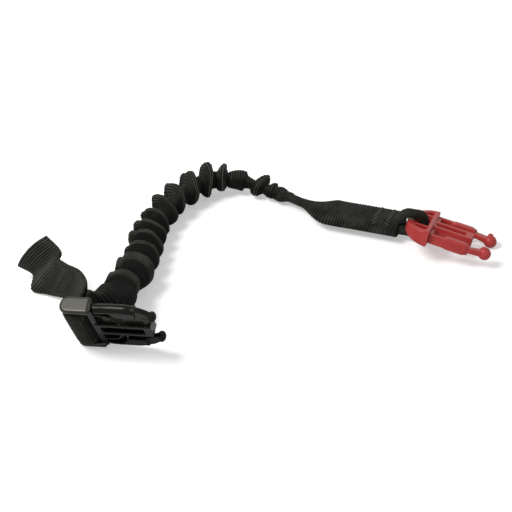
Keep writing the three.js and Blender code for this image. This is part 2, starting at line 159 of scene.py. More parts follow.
# Raised point on the bead of a prong with a pad: its place from the bead's top, and half sizes
point_place = (-0.6, 0.9, -0.4)
point_sizes = (1.3, 1.0, 1.0)

# Guide tongue between the prongs
guide_half_width = 4.0
guide_thickness = 6.0
guide_rail = 1.8
guide_tip = 3.4
guide_slot_start = 0.9
guide_corner = 0.8
guide_slot_corner = 0.6
guide_ease = 0.25
black_guide_length = 23.0
red_guide_length = 18.2

# Curved ribs that tie the guide to the shoulder
rib_offset = 10.2
rib_wall = 1.0
rib_thickness = 3.9
rib_ease = 0.1
rib_foot = 9.2

# Strap frame of the black buckle
rail_width = 2.6
rail_height = 8.4
rail_length = 13.6
rail_setback = 0.9
rail_nose = 3.6
rail_heel = 1.0
rail_inset = 0.4
rail_drop = 0.6
rail_ease = 1.2
shoulder_depth = 2.8
shoulder_inset = 0.3
shoulder_corner = 0.5
shoulder_ease = 0.3
bar_width = 4.4
bar_height = 3.6
bar_corner = 1.5
bar_margin = 0.2
loop_drop = 2.8
core_layer_offset = 1.3

# Loop end of the red buckle
ring_half_width = 15.3
ring_height = 7.8
ring_tip_height = 5.0
ring_depth = 12.2
ring_wall = 3.2
ring_side_wall = 2.8
ring_bar = 2.3
ring_ease = 0.9
cover_overlap = 1.0
cover_ease = 0.2
divider_near = -5.2
divider_far = 8.2
divider_wall = 1.3
divider_height = 5.6
pocket_floor = 1.4
base_inset = 2.2
base_depth = 1.6
base_thickness = 4.1
base_corner = 0.4
base_ease = 0.2

# Where the black buckle's origin lies on the table that the routes below are measured on
black_at = (-64.7, -73.5, 17.0)

# Middle line of the gathers, from the black buckle to the neck
sleeve_route = [
    (-57.8, -49.0, 14.5), (-54.0, -34.2, 11.2), (-51.0, -18.6, 9.2), (-48.6, -4.6, 8.5),
    (-43.0, 18.2, 8.5), (-34.0, 36.0, 8.5), (-22.4, 49.0, 8.4), (-7.5, 51.5, 7.0),
    (1.4, 48.2, 5.6), (10.7, 43.7, 4.8),
]
neck_middle = (21.4, 37.0, 4.3)
sleeve_end = (66.2, 18.4, 4.6)
sleeve_end_heading = -18.3
sleeve_end_tilt = -7.0

# Free end of the strap: its middle line, and where its upper edge lies from it
tail_route = [
    ((-73.4, -53.0, 16.4), (1.4, -5.0, 11.3)),
    ((-78.6, -42.0, 14.2), (3.0, -5.0, 11.0)),
    ((-86.4, -34.8, 12.0), (5.0, -4.2, 11.0)),
    ((-91.8, -30.3, 11.6), (6.4, -2.7, 10.4)),
    ((-91.2, -26.3, 14.2), (6.6, -4.7, 9.5)),
    ((-98.8, -20.6, 17.8), (6.7, -3.1, 9.9)),
]
tail_bow = 1.7
tail_bow_length = 16.0

# Cord over the bar of the ring, through its hole and back under, from the ring's own origin
cord_route = [
    (-16.2, 8.4, -4.4), (-15.3, 3.0, -0.7), (-14.6, -1.8, 2.8), (-12.5, -3.9, 5.1),
    (-9.8, -3.0, 5.3), (-7.4, -0.4, 4.8), (-5.7, 2.4, 2.8), (-5.2, 4.0, 0.0),
    (-5.7, 4.6, -2.9), (-8.4, 4.1, -5.7), (-11.8, 3.6, -6.0),
]

# Derived sizes
slot_half_width = webbing_width / 2 + strap_clearance
frame_half_width = slot_half_width + rail_width
frame_end = -rail_setback - rail_length
bar_end = frame_end + webbing_thickness + 2 * wrap_clearance + bar_margin
bar_middle = bar_end + bar_width / 2
slot_middle = (bar_end + bar_width - shoulder_depth) / 2
wrap_offset = wrap_clearance + webbing_thickness / 2
bore_radius = core_diameter / 2 + core_clearance
valley_radius = bore_radius + sleeve_wall
fold_over = bar_height / 2 + wrap_offset
fold_round = bar_width / 2 + wrap_offset
leg_back = -rail_height / 2 - loop_drop
core_side = slot_middle + core_layer_offset
tail_side = core_side - webbing_thickness - layer_gap
# six rings of points for each rib
rib_step = rib_pitch / 6
end_heading = math.radians(sleeve_end_heading)
end_forward = np.array((math.cos(end_heading), math.sin(end_heading), 0))
UP = np.array((0.0, 0.0, 1.0))

# Frames

joints = {joint["name"]: joint for joint in frame["joints"]}


def plug_frame(flex, other_flex):
    """A plug's frame in metres, from the flexures of its two prongs: x along the prongs,
    y across them, z out of the flat face."""
    first, second = (Vector(joints[name]["pos_m"]) for name in (flex, other_flex))
    out = Vector(joints[flex]["axis"]).normalized()
    across = (first - second).normalized()
    along = across.cross(out).normalized()
    place = Matrix((along, across, out)).transposed().to_4x4()
    place.translation = (first + second) / 2 - along * flex_inset * MM
    return place


black_frame = plug_frame("black_upper_flex", "black_lower_flex")
red_frame = plug_frame("red_far_flex", "red_near_flex")
table_frame = Matrix.Translation(black_frame.translation - Vector(black_at) * MM)


def moved(points, place, to=table_frame):
    """Points in millimetres in one frame, as millimetres in another."""
    change = to.inverted() @ place
    return np.array([change @ (Vector(p) * MM) / MM for p in points])


def turned(direction, place):
    return np.array((place.to_3x3() @ Vector(direction)).normalized())


# Camera, light and floor

camera_height_angle = 35.0
camera_distance = 0.960
camera_view_angle = 13.7


def make_camera():
    target = table_frame.translation
    rise = math.radians(camera_height_angle)
    back = Vector((0, -math.cos(rise), math.sin(rise)))
    camera = bpy.data.objects.new("camera", bpy.data.cameras.new("camera"))
    camera.location = target + back * camera_distance
    camera.rotation_euler = (-back).to_track_quat("-Z", "Y").to_euler()
    camera.data.angle = math.radians(camera_view_angle)
    bpy.context.scene.collection.objects.link(camera)
    bpy.context.scene.camera = camera


make_camera()


def linear(code):
    """Linear colour of an sRGB hex code."""
    parts = [int(code[i:i + 2], 16) / 255 for i in (1, 3, 5)]
    return [c / 12.92 if c <= 0.04045 else ((c + 0.055) / 1.055) ** 2.4 for c in parts] + [1.0]


def add(tree, kind, inputs=None, **settings):
    """Adds a node with its settings, and sets or links its inputs."""
    made = tree.nodes.new(kind)
    for key, value in settings.items():
        setattr(made, key, value)
    for key, value in (inputs or {}).items():
        if isinstance(value, bpy.types.NodeSocket):
            tree.links.new(value, made.inputs[key])
        else:
            made.inputs[key].default_value = value
    return made


def maths(tree, operation, *values):
    """One operation on numbers or sockets, as a socket."""
    return add(tree, "ShaderNodeMath", dict(enumerate(values)), operation=operation).outputs[0]


def new_material(name):
    material = bpy.data.materials.new(name)
    material.use_nodes = True
    material.node_tree.nodes.clear()
    return material, material.node_tree


def area_light(name, place, target, size, watts):
    lamp = bpy.data.lights.new(name, "AREA")
    lamp.size = size
    lamp.energy = watts
    holder = bpy.data.objects.new(name, lamp)
    holder.location = place
    holder.rotation_euler = (Vector(target) - Vector(place)).to_track_quat("-Z", "Y").to_euler()
    bpy.context.scene.collection.objects.link(holder)


def make_studio():
    area_light("key", (-0.42, -0.20, 0.70), (0, 0, 0), 0.3, 5.0)
    world = bpy.data.worlds.new("studio")
    world.use_nodes = True
    tree = world.node_tree
    tree.nodes.clear()
    path = add(tree, "ShaderNodeLightPath")
    seen = maths(tree, "MAXIMUM", path.outputs["Is Camera Ray"], path.outputs["Is Glossy Ray"])
    light = add(tree, "ShaderNodeBackground", {"Color": linear("#ffffff"), "Strength": 0.36})
    white = add(tree, "ShaderNodeBackground", {"Color": linear("#ffffff"), "Strength": 1.0})
    both = add(tree, "ShaderNodeMixShader", {0: seen, 1: light.outputs[0], 2: white.outputs[0]})
    add(tree, "ShaderNodeOutputWorld", {"Surface": both.outputs[0]})
    bpy.context.scene.world = world

    mesh = bpy.data.meshes.new("floor")
    reach = 3.0
    corners = [(-reach, -reach, 0), (reach, -reach, 0), (reach, reach, 0), (-reach, reach, 0)]
    mesh.from_pydata(corners, [], [(0, 1, 2, 3)])
    floor = bpy.data.objects.new("floor", mesh)
    bpy.context.scene.collection.objects.link(floor)
    material, tree = new_material("painted_floor")
    path = add(tree, "ShaderNodeLightPath")
    paint = add(tree, "ShaderNodeBsdfDiffuse", {"Color": linear("#f0f0f0")})
    strength = maths(tree, "MULTIPLY", path.outputs["Is Camera Ray"], 0.4)
    glow = add(tree, "ShaderNodeEmission", {"Color": linear("#ffffff"), "Strength": strength})
    total = add(tree, "ShaderNodeAddShader", {0: paint.outputs[0], 1: glow.outputs[0]})
    add(tree, "ShaderNodeOutputMaterial", {"Surface": total.outputs[0]})
    mesh.materials.append(material)


make_studio()
bpy.context.scene.view_settings.view_transform = "Standard"

# Materials


def cloth_place(tree):
    """Place on a cloth: millimetres along and across it, and how far its rib or strand stands, which
    on the gathers also carries painted light and shade.
    """
    return add(tree, "ShaderNodeAttribute", attribute_name="cloth").outputs["Vector"]


def parts_of(tree, vector):
    return add(tree, "ShaderNodeSeparateXYZ", {0: vector}).outputs


def noise(tree, place, scale, detail, roughness=0.5):
    return add(tree, "ShaderNodeTexNoise", {"Vector": place, "Scale": scale, "Detail": detail,
                                            "Roughness": roughness}).outputs["Fac"]


def two_tone(tree, share, dark, light, start=0.0, end=1.0):
    """A colour from dark to light as the share goes from start to end."""
    ramp = add(tree, "ShaderNodeValToRGB", {0: share})
    for stop, position, code in zip(ramp.color_ramp.elements, (start, end), (dark, light)):
        stop.position = position
        stop.color = linear(code)
    return ramp.outputs[0]


def surface(tree, colour, roughness, relief, strength, depth, more):
    """A material's surface, with a fine relief whose depth is millimetres."""
    bump = add(tree, "ShaderNodeBump", {"Height": relief, "Strength": strength,
                                        "Distance": depth * MM})
    shader = add(tree, "ShaderNodeBsdfPrincipled", {
        "Base Color": colour, "Roughness": roughness, "Normal": bump.outputs[0], **more})
    add(tree, "ShaderNodeOutputMaterial", {"Surface": shader.outputs[0]})


def ribbed_webbing():
    """Woven nylon webbing, dyed black: matt, and lighter on the crests of its ribs, partly a worn nap
    and partly a painted highlight; on the gathers the cloth height also carries painted light and
    shade.
    """
    material, tree = new_material("ribbed_nylon_webbing")
    cloth = cloth_place(tree)
    parts = parts_of(tree, cloth)
    # yarns run along the strap, 0.6 mm apart by guess
    yarn = maths(tree, "SINE", maths(tree, "MULTIPLY", parts["Y"], 2 * math.pi / 0.6))
    # loose fibres in tufts of about 0.6 mm, and dye that varies over about 6 mm
    fuzz = noise(tree, cloth, 1.6, 4.0, 0.65)
    blotch = noise(tree, cloth, 0.16, 3.0)
    # lighter on the rib crests: partly nap and partly a painted highlight, and on the gathers painted
    # light and shade as well
    crest = maths(tree, "MULTIPLY", parts["Z"], fuzz)
    tone = maths(tree, "MULTIPLY_ADD", crest, 0.9, -0.05)
    patch = maths(tree, "MULTIPLY_ADD", blotch, 0.5, tone)
    relief = maths(tree, "MULTIPLY_ADD", yarn, 0.35, fuzz)
    surface(tree, two_tone(tree, patch, "#0d0d0c", "#5a5a53", 0.3), 0.88, relief, 0.6, 0.12, {
        "Specular IOR Level": 0.12, "Sheen Weight": 0.06, "Sheen Roughness": 0.45,
        "Sheen Tint": linear("#b8b8ac")})
    return material


def braided_cord():
    """Braided nylon cord: the same dye as the webbing, a little greyer on top of the strands,
    whose relief is in the mesh."""
    material, tree = new_material("braided_nylon_cord")
    cloth = cloth_place(tree)
    fuzz = noise(tree, cloth, 2.2, 4.0)
    tone = maths(tree, "MULTIPLY", parts_of(tree, cloth)["Z"], fuzz)
    surface(tree, two_tone(tree, tone, "#0c0c0b", "#40413b", 0.0, 0.7), 0.85, fuzz, 0.5, 0.1, {
        "Specular IOR Level": 0.15, "Sheen Weight": 0.06, "Sheen Roughness": 0.4,
        "Sheen Tint": linear("#b0b0a6")})
    return material


def moulded_acetal(name, dark, light, roughness, shine, grain, grain_depth):
    """Injection-moulded acetal: a satin skin, mottled slightly where the mould was textured. The
    grain's width and depth are millimetres."""
    material, tree = new_material(name)
    place = add(tree, "ShaderNodeTexCoord").outputs["Object"]
    # mottles about 5.5 mm across, in colour and in gloss
    cloud = noise(tree, place, 180.0, 3.0)
    gloss = add(tree, "ShaderNodeMapRange", {
        "Value": cloud, "From Min": 0.3, "From Max": 0.7, "To Min": roughness - 0.04,
        "To Max": roughness + 0.05})
    surface(tree, two_tone(tree, cloud, dark, light, 0.3, 0.7), gloss.outputs[0],
            noise(tree, place, 1 / (grain * MM), 2.0), 0.5, grain_depth,
            {"Specular IOR Level": shine, "Specular Tint": linear("#f4f1e4")})
    return material


def latex_core():
    """Round latex rubber: pale, dusted with talc, so nearly matt."""
    material, tree = new_material("latex_rubber")
    dust = noise(tree, cloth_place(tree), 0.8, 3.0)
    surface(tree, two_tone(tree, dust, "#b3aa92", "#d8d0bc"), 0.75, dust, 0.3, 0.1, {"IOR": 1.52})
    return material


def sewing_thread():
    """Bonded polyester thread: two plies twisted, with a dull shine."""
    material, tree = new_material("bonded_thread")
    parts = parts_of(tree, cloth_place(tree))
    # one turn of the plies every 1.1 mm
    wave = maths(tree, "SINE", maths(tree, "MULTIPLY_ADD", parts["X"], 2 * math.pi / 1.1,
                                     parts["Y"]))
    surface(tree, two_tone(tree, wave, "#111110", "#242422"), 0.6, wave, 0.5, 0.1, {"IOR": 1.52})
    return material


webbing_look = ribbed_webbing()
cord_look = braided_cord()
# the black plug's side rails are grained, and the rest of both plugs is nearly smooth
black_look = moulded_acetal("black_acetal", "#050505", "#0a0a09", 0.25, 0.16, 0.5, 0.02)
black_grained_look = moulded_acetal("black_acetal_grained", "#0b0b0a", "#151513", 0.32, 0.5,
                                    0.45, 0.08)
red_look = moulded_acetal("red_acetal", "#a52b2c", "#b53a38", 0.4, 0.45, 0.4, 0.03)
rubber_look = latex_core()
thread_look = sewing_thread()

# Lines and rings


def unit(v):
    """Vectors made one long."""
    return v / np.linalg.norm(v, axis=-1, keepdims=True)


def smoothstep(x, low, high):
    t = np.clip((x - low) / (high - low), 0, 1)
    return t * t * (3 - 2 * t)


def mix(a, b, share):
    return a + (b - a) * share


def spline(points, per=40):
    """Dense points on a centripetal Catmull-Rom line through the given points."""
    p = np.array(points, float)
    p = np.vstack([2 * p[0] - p[1], p, 2 * p[-1] - p[-2]])
    share = np.linspace(0, 1, per, endpoint=False)[:, None]
    runs = []
    for a, b, c, d in zip(p, p[1:], p[2:], p[3:]):
        d0, d1, d2 = (math.sqrt(np.linalg.norm(y - x)) for x, y in ((a, b), (b, c), (c, d)))
        leave = ((b - a) / d0 - (c - a) / (d0 + d1) + (c - b) / d1) * d1
        reach = ((c - b) / d1 - (d - b) / (d1 + d2) + (d - c) / d2) * d1
        runs.append((2 * share ** 3 - 3 * share ** 2 + 1) * b
                    + (share ** 3 - 2 * share ** 2 + share) * leave
                    + (3 * share ** 2 - 2 * share ** 3) * c + (share ** 3 - share ** 2) * reach)
    return np.vstack([*runs, p[-2:-1]])


def runs_of(path):
    """Distance along a path at each of its points."""
    return np.concatenate([[0], np.cumsum(np.linalg.norm(np.diff(path, axis=0), axis=1))])


def along_path(path, distances):
    """Points and directions at distances along a path."""
    run = runs_of(path)
    way = unit(np.gradient(path, run, axis=0))
    points = np.stack([np.interp(distances, run, path[:, k]) for k in range(3)], 1)
    ways = unit(np.stack([np.interp(distances, run, way[:, k]) for k in range(3)], 1))
    return points, ways


def upright_frame(way):
    """Directions across and over a way, with across level."""
    across = unit(np.cross(UP, way))
    return across, np.cross(way, across)


def ring_section(sides, power=2.0):
    """A unit ring, squarer as power grows: one column across, one column over."""
    turn = 2 * np.pi * np.arange(sides) / sides
    c, s = np.cos(turn), np.sin(turn)
    return (np.sign(c) * np.abs(c) ** (2 / power), np.sign(s) * np.abs(s) ** (2 / power))


def rings_at(middle, across, over, half_width, half_height, sides, power=2.0):
    """Rings of points round the middles, with a half width and half height for each."""
    count = len(middle)
    powers = np.broadcast_to(power, count)
    sections = np.array([ring_section(sides, p) for p in powers])
    x = sections[:, 0] * np.broadcast_to(half_width, count)[:, None]
    y = sections[:, 1] * np.broadcast_to(half_height, count)[:, None]
    return middle[:, None] + across[:, None] * x[..., None] + over[:, None] * y[..., None]


def lifted(rings, height):
    """Rings moved outwards along the surface's normal by a height for each point."""
    along = np.gradient(rings, axis=0)
    around = np.roll(rings, -1, 1) - np.roll(rings, 1, 1)
    return rings + unit(np.cross(around, along)) * height[..., None]


def ribs_at(distances, sides=1):
    """Height, from 0 to 1, of crosswise ribs at distances along the cloth, round each ring."""
    height = (0.5 + 0.5 * np.cos(2 * np.pi * distances / rib_pitch)) ** 0.8
    return np.broadcast_to(height[:, None], (len(distances), sides))


# Meshes


def tube_mesh(name, rings, place, look, cloth_run=None, crest_and_painted_light=None, bore=False):
    """A closed body through rings, capped at both ends, or joined end to end round a bore."""
    count, sides = rings.shape[:2]
    links = count if bore else count - 1
    r, s = np.meshgrid(np.arange(links), np.arange(sides), indexing="ij")
    after, beside = (r + 1) % count, (s + 1) % sides
    quads = np.stack([r * sides + s, r * sides + beside, after * sides + beside,
                      after * sides + s], -1).reshape(-1, 4)
    faces = quads.tolist()
    if not bore:
        faces.append(list(range(sides))[::-1])
        faces.append([(count - 1) * sides + k for k in range(sides)])
    mesh = bpy.data.meshes.new(name)
    mesh.from_pydata((rings.reshape(-1, 3) * MM).tolist(), [], faces)
    mesh.transform(place)
    mesh.polygons.foreach_set("use_smooth", [True] * len(faces))
    run = runs_of(rings.mean(1)) if cloth_run is None else cloth_run
    # the third value is how far the rib stands, and on the gathers painted light and shade as well
    height = np.ones((count, sides)) if crest_and_painted_light is None else crest_and_painted_light
    girth = np.linalg.norm(np.roll(rings, -1, 1) - rings, axis=2).sum(1).mean()
    ahead = np.minimum(r + 1, count - 1)
    values = []
    for row, column in ((r, s), (r, s + 1), (ahead, s + 1), (ahead, s)):
        values.append(np.stack([run[row], column * girth / sides,
                                height[row, column % sides]], -1).reshape(-1, 3))
    corners = np.zeros((len(mesh.loops), 3), np.float32)
    corners[:len(quads) * 4] = np.stack(values, 1).reshape(-1, 3)
    if not bore:
        ends = np.full((2 * sides, 3), 0.5)
        ends[:sides, 0] = run[0]
        ends[sides:, 0] = run[-1]
        corners[len(quads) * 4:] = ends
    cloth = mesh.attributes.new("cloth", "FLOAT_VECTOR", "CORNER")
    cloth.data.foreach_set("vector", corners.ravel())
    mesh.materials.append(look)
    mesh.validate()
    made = bpy.data.objects.new(name, mesh)
    bpy.context.scene.collection.objects.link(made)
    return made


def outline_slab(outline, thickness, ease, holes=(), bevel_steps=3):
    """Vertices and faces of a slab with rounded edges, from an outline in its own plane."""
    curve = bpy.data.curves.new("outline", "CURVE")
    curve.dimensions = "2D"
    curve.fill_mode = "BOTH"
    curve.extrude = thickness / 2 - ease
    curve.bevel_depth = ease
    curve.bevel_resolution = bevel_steps
    curve.offset = -ease
    for points in (outline, *holes):
        line = curve.splines.new("POLY")
        line.points.add(len(points) - 1)
        for spot, (x, y) in zip(line.points, points):
            spot.co = (x, y, 0, 1)
        line.use_cyclic_u = True
    holder = bpy.data.objects.new("outline", curve)
    bpy.context.scene.collection.objects.link(holder)
    solid = bmesh.new()
    made = bpy.data.meshes.new_from_object(holder)
    solid.from_mesh(made)
    bmesh.ops.remove_doubles(solid, verts=solid.verts, dist=1e-4)
    bpy.data.objects.remove(holder)
    bpy.data.curves.remove(curve)
    bpy.data.meshes.remove(made)
    return solid


def stood_up(solid, middle):
    """A slab turned from the plane of the prongs into the plane of length and height."""
    bmesh.ops.transform(solid, matrix=Matrix.Rotation(math.pi / 2, 4, "X"), verts=solid.verts)
    bmesh.ops.translate(solid, vec=(0, middle, 0), verts=solid.verts)
    return solid


def mirrored(solid, side):
    """The solid itself on side 1, and its mirror image on side -1."""
    if side < 0:
        bmesh.ops.scale(solid, vec=(1, -1, 1), verts=solid.verts)
        bmesh.ops.reverse_faces(solid, faces=solid.faces)
    return solid


def ring_solid(rings):
    """A capped body through rings, as a solid to be moulded with others."""
    solid = bmesh.new()
    rows = [[solid.verts.new(p) for p in ring] for ring in rings]
    sides = len(rows[0])
    for row, after in zip(rows, rows[1:]):
        for k in range(sides):
            beside = (k + 1) % sides
            solid.faces.new((row[k], row[beside], after[beside], after[k]))
    solid.faces.new(rows[0][::-1])
    solid.faces.new(rows[-1])
    return solid


def ball_solid(middle, sizes):
    solid = bmesh.new()
    bmesh.ops.create_uvsphere(solid, u_segments=40, v_segments=24, radius=1)
    bmesh.ops.scale(solid, vec=sizes, verts=solid.verts)
    bmesh.ops.translate(solid, vec=middle, verts=solid.verts)
    return solid


# Mouldings: size of the voxels that fuse them, rounds of smoothing, share of the faces kept
fuse_voxel = 0.2
fillet_rounds = 3
faces_kept = 0.3


def moulded(name, solids, place, look):
    """One moulding from overlapping solids: fused, with small fillets where they meet."""
    whole = bmesh.new()
    for solid in solids:
        part = bpy.data.meshes.new("part")
        solid.to_mesh(part)
        solid.free()
        whole.from_mesh(part)
        bpy.data.meshes.remove(part)
    mesh = bpy.data.meshes.new(name)
    whole.to_mesh(mesh)
    whole.free()
    made = bpy.data.objects.new(name, mesh)
    bpy.context.scene.collection.objects.link(made)
    fuse = made.modifiers.new("fuse", "REMESH")
    fuse.mode = "VOXEL"
    fuse.voxel_size = fuse_voxel
    ease = made.modifiers.new("ease", "SMOOTH")
    ease.factor = 0.5
    ease.iterations = fillet_rounds
    thin = made.modifiers.new("thin", "DECIMATE")
    thin.ratio = faces_kept
    bpy.context.view_layer.update()
    ready = bpy.data.meshes.new_from_object(made.evaluated_get(bpy.context.evaluated_depsgraph_get()))
    made.modifiers.clear()
    made.data = ready
    bpy.data.meshes.remove(mesh)
    ready.name = name
    ready.transform(place @ Matrix.Scale(MM, 4))
    ready.polygons.foreach_set("use_smooth", [True] * len(ready.polygons))
    ready.materials.clear()
    ready.materials.append(look)
    return made


def arc(middle, radius, start, end, steps=10):
    """Points on an arc, with angles in degrees; radius may be one for each direction."""
    rx, ry = radius if isinstance(radius, tuple) else (radius, radius)
    angles = np.radians(np.linspace(start, end, steps + 1))
    return [(middle[0] + rx * math.cos(a), middle[1] + ry * math.sin(a)) for a in angles]


def rounded_rect(x0, y0, x1, y1, radius, far=None, steps=8):
    """A rounded rectangle; its right end may have a radius of its own."""
    far = radius if far is None else far
    return [*arc((x1 - far, y0 + far), far, -90, 0, steps),
            *arc((x1 - far, y1 - far), far, 0, 90, steps),
            *arc((x0 + radius, y1 - radius), radius, 90, 180, steps),
            *arc((x0 + radius, y0 + radius), radius, 180, 270, steps)]


def bezier(p0, p1, p2, p3=None, steps=12):
    """Points on a bend: quadratic with three points, cubic with four."""
    t = np.linspace(0, 1, steps + 1)[:, None]
    p0, p1, p2 = (np.array(p, float) for p in (p0, p1, p2))
    if p3 is None:
        points = (1 - t) ** 2 * p0 + 2 * t * (1 - t) * p1 + t ** 2 * p2
    else:
        p3 = np.array(p3, float)
        points = ((1 - t) ** 3 * p0 + 3 * t * (1 - t) ** 2 * p1
                  + 3 * t ** 2 * (1 - t) * p2 + t ** 3 * p3)
    return [tuple(p) for p in points]


def ribbon_outline(route, thickness):
    """A line of even thickness along a route in the plane, closed into an outline."""
    route = np.array(route)
    way = unit(np.gradient(route, axis=0))
    side = np.stack([-way[:, 1], way[:, 0]], 1) * thickness / 2
    return [tuple(p) for p in np.vstack([route + side, (route - side)[::-1]])]


# Plastic plugs


def rounded_back(out, depth, start, end):
    """The half-round outer face of a prong: a D in section, with its flat side inwards."""
    turn = np.radians(np.linspace(-90, 90, 15))
    rings = []
    for x in np.linspace(start, end, 24):
        reach = (out - root_dip * smoothstep(x, root_dip_end, 0)
                 - nose_dip * smoothstep(x, nose_dip_start, end))
        # thinner over its first 0.8 mm and its last 0.6 mm, so both ends are rounded over
        small = 1 - 0.35 * smoothstep(x, start + 0.8, start) - 0.5 * smoothstep(x, end - 0.6, end)
        half = plug_thickness / 2 * small
        ring = [(x, reach - depth + depth * math.cos(a), half * math.sin(a)) for a in turn]
        inner = reach - depth - back_sunk
        rings.append([*ring, (x, inner, half - 0.02), (x, inner, -half + 0.02)])
    return ring_solid(rings)


def prong(side, plug):
    """One prong, on side 1 or -1: spring leg and web, pad, then a thinner neck and its bead."""
    out, span = plug["half_width"], plug["bead_span"]
    inner = out - plug["web_width"]
    bead_middle = plug["length"] - plug["bead_radius"]
    bead_side = plug["bead_radius"] - bead_inset
    shoulder = out - pad_rounding
    edge = out
    if plug["round_back"]:
        edge = out - plug["round_back"] + back_overlap
    nose = (pad_end + pad_slant, min(edge, shoulder))
    leg = [(root_gap, out - leg_depth), (leg_length, out - leg_depth)]
    leg += bezier((leg_length, out - leg_depth), (web_start - web_bend, inner + web_inset),
                  (web_start, inner))
    leg += [(pad_end, inner), nose]
    leg += bezier(nose, (pad_end - pad_taper / 5, edge), (pad_end - pad_taper, edge))
    leg += [(root_gap, edge)]
    neck = [(web_start, inner + web_inset), (pad_end, inner + neck_inset),
            (bead_middle, span - bead_side), (bead_middle, span + bead_side)]
    neck += bezier((bead_middle, span + bead_side), (pad_end + prong_neck_reach, shoulder),
                   (pad_end, shoulder))
    neck += [(web_start, shoulder)]
    parts = [outline_slab(leg, plug_thickness, prong_ease),
             outline_slab(neck, prong_neck_thickness, prong_ease),
             ball_solid((bead_middle, span, 0), plug["bead"])]
    if plug["round_back"]:
        parts.append(rounded_back(out, plug["round_back"], root_gap, nose[0]))
    if plug["pad_height"]:
        half = plug["pad_height"] / 2
        pad = rounded_rect(pad_start, -half, pad_end, half, pad_corner)
        parts.append(stood_up(outline_slab(pad, 2 * leg_depth, pad_ease), out - leg_depth - pad_inset))
        bead_top = (bead_middle, span, plug["bead"][2])
        parts.append(ball_solid([a + b for a, b in zip(bead_top, point_place)], point_sizes))
    return [mirrored(part, side) for part in parts]


def guide(length):
    """Tongue between the prongs with its long slot."""
    outline = rounded_rect(-shoulder_depth / 2, -guide_half_width, length, guide_half_width,
                           guide_corner)
    inner = guide_half_width - guide_rail
    slot = rounded_rect(guide_slot_start, -inner, length - guide_tip, inner, guide_slot_corner)
    return outline_slab(outline, guide_thickness, guide_ease, [slot])


def rib(side):
    """Curved rib from the shoulder to the guide, on side 1 or -1."""
    # it starts inside the shoulder, bows outwards and ends inside the guide
    route = bezier((-0.6, rib_offset), (rib_foot * 0.95, rib_offset + 0.2),
                   (rib_foot * 0.5, rib_offset * 0.9), (rib_foot + 0.8, guide_half_width - 0.5))
    return mirrored(outline_slab(ribbon_outline(route, rib_wall), rib_thickness, rib_ease), side)


def black_frame_solids():
    """Strap frame of the black plug, with its shoulder, guide and ribs."""
    rail_shape = rounded_rect(frame_end + rail_inset, -rail_height / 2, -rail_setback,
                              rail_height / 2 - rail_drop, rail_nose, rail_heel)
    rail_middle = frame_half_width - rail_width / 2
    rails = [stood_up(outline_slab(rail_shape, rail_width, rail_ease, bevel_steps=6),
                      side * rail_middle) for side in (1, -1)]
    end = black_plug["half_width"] - shoulder_inset
    shoulder = outline_slab(rounded_rect(-shoulder_depth, -end, 0, end, shoulder_corner),
                            plug_thickness, shoulder_ease)
    bar_shape = rounded_rect(bar_end, -bar_height / 2, bar_end + bar_width, bar_height / 2,
                             bar_corner)
    # the bar runs into the middle of each rail
    bar = stood_up(outline_slab(bar_shape, 2 * slot_half_width + rail_width, 0.1), 0)
    return [*rails, shoulder, bar, guide(black_guide_length), rib(1), rib(-1)]


def ring_arc(depth, half_width, steps=40):
    """Half an oval behind the bar, from one side of the ring to the other."""
    return arc((-ring_bar, 0), (depth - ring_bar, half_width), 90, 270, steps)


def covered(thickness, low, high):
    """A plate inside the ring between two distances from its middle line."""
    edge = ring_arc(ring_depth - cover_overlap, ring_half_width - cover_overlap, 200)
    spots = [(x, y) for x, y in edge if low <= y <= high]
    return outline_slab([(-ring_bar / 2, spots[0][1]), *spots, (-ring_bar / 2, spots[-1][1])],
                        thickness, cover_ease)


def ring_solids():
    """D-shaped ring, lower towards its tip, with a blind pocket on either side of the hole."""
    outline = [(0, -ring_half_width), (0, ring_half_width), *ring_arc(ring_depth, ring_half_width)]
    hole = ring_arc(ring_depth - ring_wall, ring_half_width - ring_side_wall, 36)
    rim = outline_slab(outline, ring_height, ring_ease, [hole], 5)
    for vert in rim.verts:
        share = min(max(-vert.co.x / ring_depth, 0), 1)
        vert.co.z *= mix(1, ring_tip_height / ring_height, share)
    return [rim, covered(pocket_floor, -ring_half_width, divider_near),
            covered(pocket_floor, divider_far, ring_half_width),
            covered(divider_height, divider_near - divider_wall, divider_near),
            covered(divider_height, divider_far, divider_far + divider_wall)]


def red_frame_solids():
    """Ring of the red plug, with the web at its base and the guide."""
    end = red_plug["half_width"] - base_inset
    base = outline_slab(rounded_rect(-ring_bar / 2, -end, base_depth, end, base_corner),
                        base_thickness, base_ease)
    return [*ring_solids(), base, guide(red_guide_length)]


def make_prongs(plug, place, look, prongs):
    for name, side, node, clip in prongs:
        made = moulded(name, prong(side, plug), place, look)
        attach(made, clip)
        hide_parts(node)


def make_black_plug():
    body = moulded("black_frame", black_frame_solids(), black_frame, black_look)
    body.data.materials.append(black_grained_look)
    to_plug = black_frame.inverted()
    for face in body.data.polygons:
        spot = to_plug @ face.center / MM
        if spot.x < -rail_setback and abs(spot.y) > slot_half_width:
            face.material_index = 1
    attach(body, "black_buckle")
    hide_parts("black_buckle_frame")
    make_prongs(black_plug, black_frame, black_look, (
        ("black_prong_upper", 1, "black_upper_prong", "black_upper_clip"),
        ("black_prong_lower", -1, "black_lower_prong", "black_lower_clip")))


def make_red_plug():
    body = moulded("red_frame", red_frame_solids(), red_frame, red_look)
    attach(body, "red_buckle")
    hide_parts("red_buckle_frame")
    make_prongs(red_plug, red_frame, red_look, (
        ("red_prong_far", 1, "red_far_prong", "red_far_clip"),
        ("red_prong_near", -1, "red_near_prong", "red_near_clip")))


# Webbing pieces


def even_steps(length, step):
    return np.linspace(0, length, max(2, int(round(length / step)) + 1))


